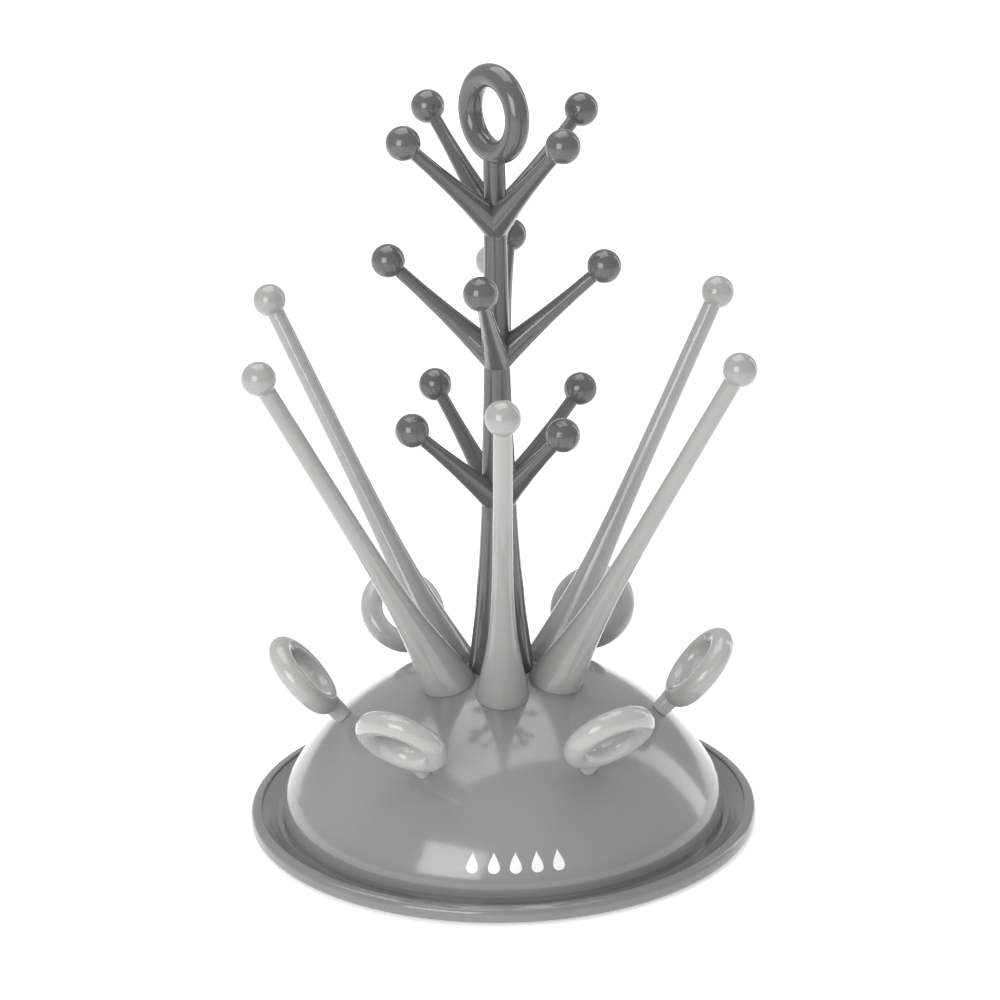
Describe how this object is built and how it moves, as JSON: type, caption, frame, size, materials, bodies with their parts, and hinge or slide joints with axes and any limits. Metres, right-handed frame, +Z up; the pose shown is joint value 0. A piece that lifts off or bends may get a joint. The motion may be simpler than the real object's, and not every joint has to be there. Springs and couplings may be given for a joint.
{
  "type": "bottle drying rack",
  "caption": "Countertop rack for drying baby bottles: a round drip tray, a domed cover with long bottle pegs and short cap loops, and a tree of branches topped by a carrying ring.",
  "frame": {"origin": "on the table, under the middle of the drip tray", "axes": "+Z up along the trunk; the front is -Y, with a bottle peg pointing straight to the front"},
  "size_m": [0.25, 0.2696, 0.3788],
  "materials": {
    "tray_grey": "gloss",
    "cover_grey": "gloss",
    "peg_grey": "gloss",
    "tree_grey": "gloss"
  },
  "bodies": {
    "tray": {"drip_tray": "tray_grey"},
    "cover": {"dome_cover": "cover_grey"},
    "trunk": {"trunk": "tree_grey"},
    "low_tier": {"low_tier": "tree_grey"},
    "middle_tier": {"middle_tier": "tree_grey"},
    "crown": {"crown": "tree_grey"},
    "bottle_peg_back_right": {"bottle_peg_back_right": "peg_grey"},
    "bottle_peg_back": {"bottle_peg_back": "peg_grey"},
    "bottle_peg_back_left": {"bottle_peg_back_left": "peg_grey"},
    "bottle_peg_front_left": {"bottle_peg_front_left": "peg_grey"},
    "bottle_peg_front": {"bottle_peg_front": "peg_grey"},
    "bottle_peg_front_right": {"bottle_peg_front_right": "peg_grey"},
    "cap_loop_right": {"cap_loop_right": "peg_grey"},
    "cap_loop_back_right": {"cap_loop_back_right": "peg_grey"},
    "cap_loop_back_left": {"cap_loop_back_left": "peg_grey"},
    "cap_loop_left": {"cap_loop_left": "peg_grey"},
    "cap_loop_front_left": {"cap_loop_front_left": "peg_grey"},
    "cap_loop_front_right": {"cap_loop_front_right": "peg_grey"}
  },
  "joints": [
    {"name": "cover_lift", "type": "slide", "parent": "tray", "child": "cover", "axis": [0, 0, 1], "range_m": [0, 0.03]},
    {"name": "trunk_pull", "type": "slide", "parent": "cover", "child": "trunk", "axis": [0, 0, 1], "range_m": [0, 0.03]},
    {"name": "low_tier_pull", "type": "slide", "parent": "trunk", "child": "low_tier", "axis": [0, 0, 1], "range_m": [0, 0.025]},
    {"name": "middle_tier_pull", "type": "slide", "parent": "low_tier", "child": "middle_tier", "axis": [0, 0, 1], "range_m": [0, 0.025]},
    {"name": "crown_pull", "type": "slide", "parent": "middle_tier", "child": "crown", "axis": [0, 0, 1], "range_m": [0, 0.025]},
    {"name": "bottle_peg_back_right_pull", "type": "slide", "parent": "cover", "child": "bottle_peg_back_right", "axis": [0.4251, 0.2455, 0.8712], "range_m": [0, 0.03]},
    {"name": "bottle_peg_back_pull", "type": "slide", "parent": "cover", "child": "bottle_peg_back", "axis": [0, 0.4909, 0.8712], "range_m": [0, 0.03]},
    {"name": "bottle_peg_back_left_pull", "type": "slide", "parent": "cover", "child": "bottle_peg_back_left", "axis": [-0.4251, 0.2455, 0.8712], "range_m": [0, 0.03]},
    {"name": "bottle_peg_front_left_pull", "type": "slide", "parent": "cover", "child": "bottle_peg_front_left", "axis": [-0.4251, -0.2455, 0.8712], "range_m": [0, 0.03]},
    {"name": "bottle_peg_front_pull", "type": "slide", "parent": "cover", "child": "bottle_peg_front", "axis": [0, -0.4909, 0.8712], "range_m": [0, 0.03]},
    {"name": "bottle_peg_front_right_pull", "type": "slide", "parent": "cover", "child": "bottle_peg_front_right", "axis": [0.4251, -0.2455, 0.8712], "range_m": [0, 0.03]},
    {"name": "cap_loop_right_pull", "type": "slide", "parent": "cover", "child": "cap_loop_right", "axis": [0.6494, 0, 0.7604], "range_m": [0, 0.02]},
    {"name": "cap_loop_back_right_pull", "type": "slide", "parent": "cover", "child": "cap_loop_back_right", "axis": [0.3247, 0.5624, 0.7604], "range_m": [0, 0.02]},
    {"name": "cap_loop_back_left_pull", "type": "slide", "parent": "cover", "child": "cap_loop_back_left", "axis": [-0.3247, 0.5624, 0.7604], "range_m": [0, 0.02]},
    {"name": "cap_loop_left_pull", "type": "slide", "parent": "cover", "child": "cap_loop_left", "axis": [-0.6494, 0, 0.7604], "range_m": [0, 0.02]},
    {"name": "cap_loop_front_left_pull", "type": "slide", "parent": "cover", "child": "cap_loop_front_left", "axis": [-0.3247, -0.5624, 0.7604], "range_m": [0, 0.02]},
    {"name": "cap_loop_front_right_pull", "type": "slide", "parent": "cover", "child": "cap_loop_front_right", "axis": [0.3247, -0.5624, 0.7604], "range_m": [0, 0.02]}
  ]
}
